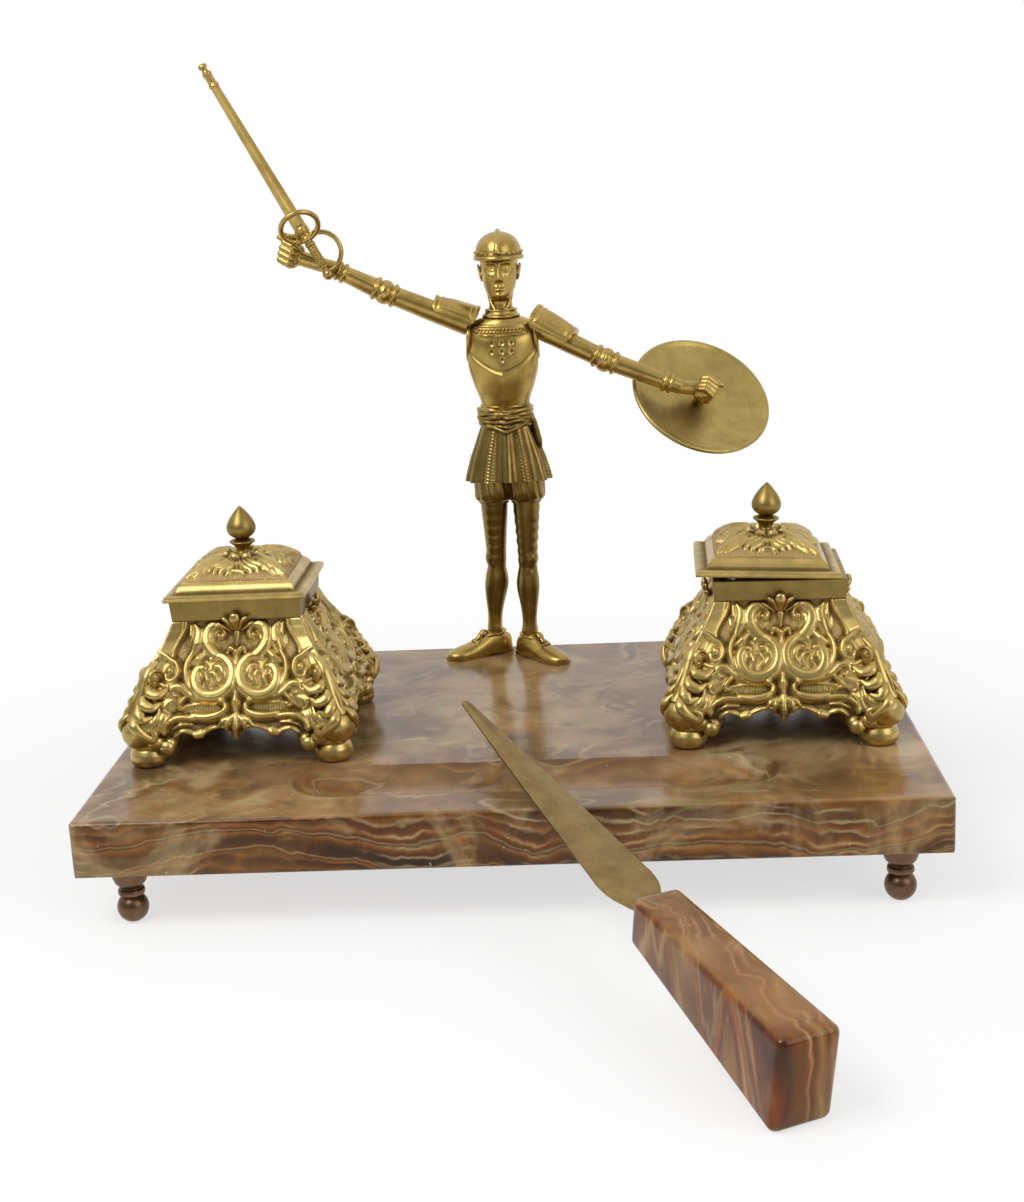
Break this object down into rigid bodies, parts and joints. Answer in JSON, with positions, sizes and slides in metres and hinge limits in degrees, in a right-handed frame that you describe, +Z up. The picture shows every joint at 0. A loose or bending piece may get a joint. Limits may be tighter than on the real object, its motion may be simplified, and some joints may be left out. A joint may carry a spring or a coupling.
{
  "type": "desk inkstand",
  "caption": "Desk inkstand: onyx slab on turned feet with a pen groove, square brass inkwells with lift-off lids, a brass soldier with sword and shield, and a letter opener.",
  "frame": {"origin": "on the desk, under the middle of the whole object's box", "axes": "+X to the right along the slab, +Y to the back, +Z up"},
  "size_m": [0.33, 0.3861, 0.3247],
  "materials": {
    "onyx": "polished, wavy brown, cream and grey bands",
    "handle_onyx": "polished, red-brown with cream bands",
    "cast_brass": "cast relief, bright on the high places, dark grain in the ground",
    "plain_brass": "smooth, slightly dulled",
    "figure_brass": "polished cast brass, darker in the folds",
    "blade_brass": "brushed and worn",
    "dark_brass": "tarnished brown",
    "steel": "plain zinc-plated fixings",
    "pot_glass": "clear pressed glass"
  },
  "bodies": {
    "base": {"slab": "onyx", "foot_front_left": "dark_brass", "foot_back_left": "dark_brass", "foot_front_right": "dark_brass", "foot_back_right": "dark_brass", "well_body_left": "cast_brass", "well_body_right": "cast_brass", "well_rim_left": "plain_brass", "well_rim_right": "plain_brass", "well_screws": "steel", "well_washers": "steel", "leg_sword_side": "figure_brass", "leg_shield_side": "figure_brass", "figure_studs": "steel", "figure_washers": "steel", "figure_nuts": "steel", "breeches": "figure_brass", "skirt": "figure_brass", "sash": "figure_brass", "cuirass": "figure_brass", "gorget": "figure_brass", "head": "figure_brass", "helmet": "figure_brass", "pauldron_sword_side": "figure_brass", "pauldron_shield_side": "figure_brass", "upper_arm_sword_side": "figure_brass", "upper_arm_shield_side": "figure_brass", "elbow_cop_sword_side": "figure_brass", "elbow_cop_shield_side": "figure_brass", "forearm_sword_side": "figure_brass", "forearm_shield_side": "figure_brass", "hand_sword_side": "figure_brass", "hand_shield_side": "figure_brass", "shield": "figure_brass", "shield_rivet": "figure_brass", "sword_blade": "figure_brass", "sword_hilt": "figure_brass"},
    "pot_left": {"ink_pot_left": "pot_glass"},
    "pot_right": {"ink_pot_right": "pot_glass"},
    "lid_left": {"lid_left": "cast_brass", "finial_left": "plain_brass", "finial_nut_left": "steel"},
    "lid_right": {"lid_right": "cast_brass", "finial_right": "plain_brass", "finial_nut_right": "steel"},
    "opener": {"opener_blade": "blade_brass", "opener_handle": "handle_onyx"}
  },
  "joints": [
    {"name": "pot_left_lift", "type": "slide", "parent": "base", "child": "pot_left", "axis": [0, 0, 1], "range_m": [0, 0.05]},
    {"name": "pot_right_lift", "type": "slide", "parent": "base", "child": "pot_right", "axis": [0, 0, 1], "range_m": [0, 0.05]},
    {"name": "lid_left_lift", "type": "slide", "parent": "pot_left", "child": "lid_left", "axis": [0, 0, 1], "range_m": [0, 0.06]},
    {"name": "lid_right_lift", "type": "slide", "parent": "pot_right", "child": "lid_right", "axis": [0, 0, 1], "range_m": [0, 0.06]},
    {"name": "opener_lift", "type": "slide", "parent": "base", "child": "opener", "axis": [0, 0, 1], "range_m": [0, 0.1]}
  ]
}
